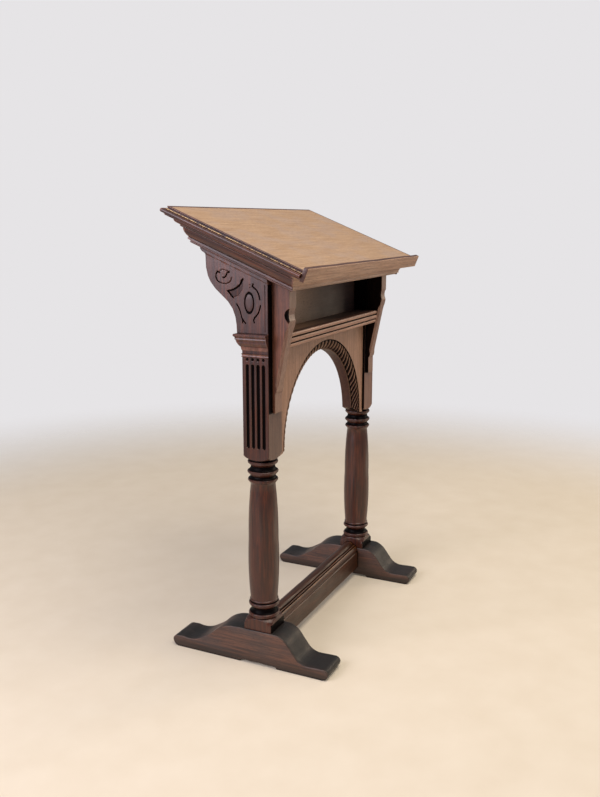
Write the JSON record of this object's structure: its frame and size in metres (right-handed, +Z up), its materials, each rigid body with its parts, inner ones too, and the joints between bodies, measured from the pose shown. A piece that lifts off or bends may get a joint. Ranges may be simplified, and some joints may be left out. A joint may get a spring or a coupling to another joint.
{
  "type": "lectern stand",
  "caption": "Free-standing carved oak church lectern: sloping desk over an open book shelf, turned posts, arched panel, trestle feet and stretcher.",
  "frame": {"origin": "floor level, centre of the stand's footprint (bounding box bottom centre)", "axes": "+Z up; +X to the reader's right; +Y from the reader towards the audience, the way the desk rises"},
  "size_m": [0.86, 0.4724, 1.2],
  "materials": {
    "oak_desk_faded": "worn waxed oak, sun-faded",
    "oak_dark_stained": "dark stained and waxed oak, satin",
    "oak_shaft": "dark stained oak, polished by handling",
    "oak_pale_worn": "worn oak, finish rubbed thin",
    "oak_panel": "mid brown waxed oak",
    "oak_foot": "dark oak, blackened low down, scuffed edges",
    "oak_stretcher": "orange-brown waxed oak, trodden smooth",
    "oak_unfinished": "bare oak, unseen inner faces",
    "steel_screw": "old steel countersunk screw"
  },
  "bodies": {
    "root": {"foot_left": "oak_foot", "foot_right": "oak_foot", "post_left": "oak_shaft", "post_right": "oak_shaft", "stretcher": "oak_stretcher", "arch_panel": "oak_panel", "shelf_board": "oak_dark_stained", "shelf_moulding": "oak_pale_worn", "back_board": "oak_dark_stained", "cheek_left": "oak_pale_worn", "cheek_right": "oak_pale_worn", "capital_left": "oak_dark_stained", "capital_right": "oak_dark_stained", "necking_left": "oak_dark_stained", "necking_right": "oak_dark_stained", "console_left": "oak_dark_stained", "console_right": "oak_dark_stained", "desk_board": "oak_desk_faded", "book_lip": "oak_pale_worn", "edge_moulding_left": "oak_dark_stained", "edge_moulding_right": "oak_dark_stained", "edge_moulding_rear": "oak_dark_stained", "cornice_left": "oak_dark_stained", "cornice_right": "oak_dark_stained", "cornice_rear": "oak_dark_stained", "front_fascia": "oak_pale_worn", "rear_frieze": "oak_dark_stained", "glue_blocks": "oak_unfinished", "cheek_dowels": "oak_unfinished", "lip_dowels": "oak_unfinished", "console_screws": "steel_screw"}
  },
  "joints": []
}
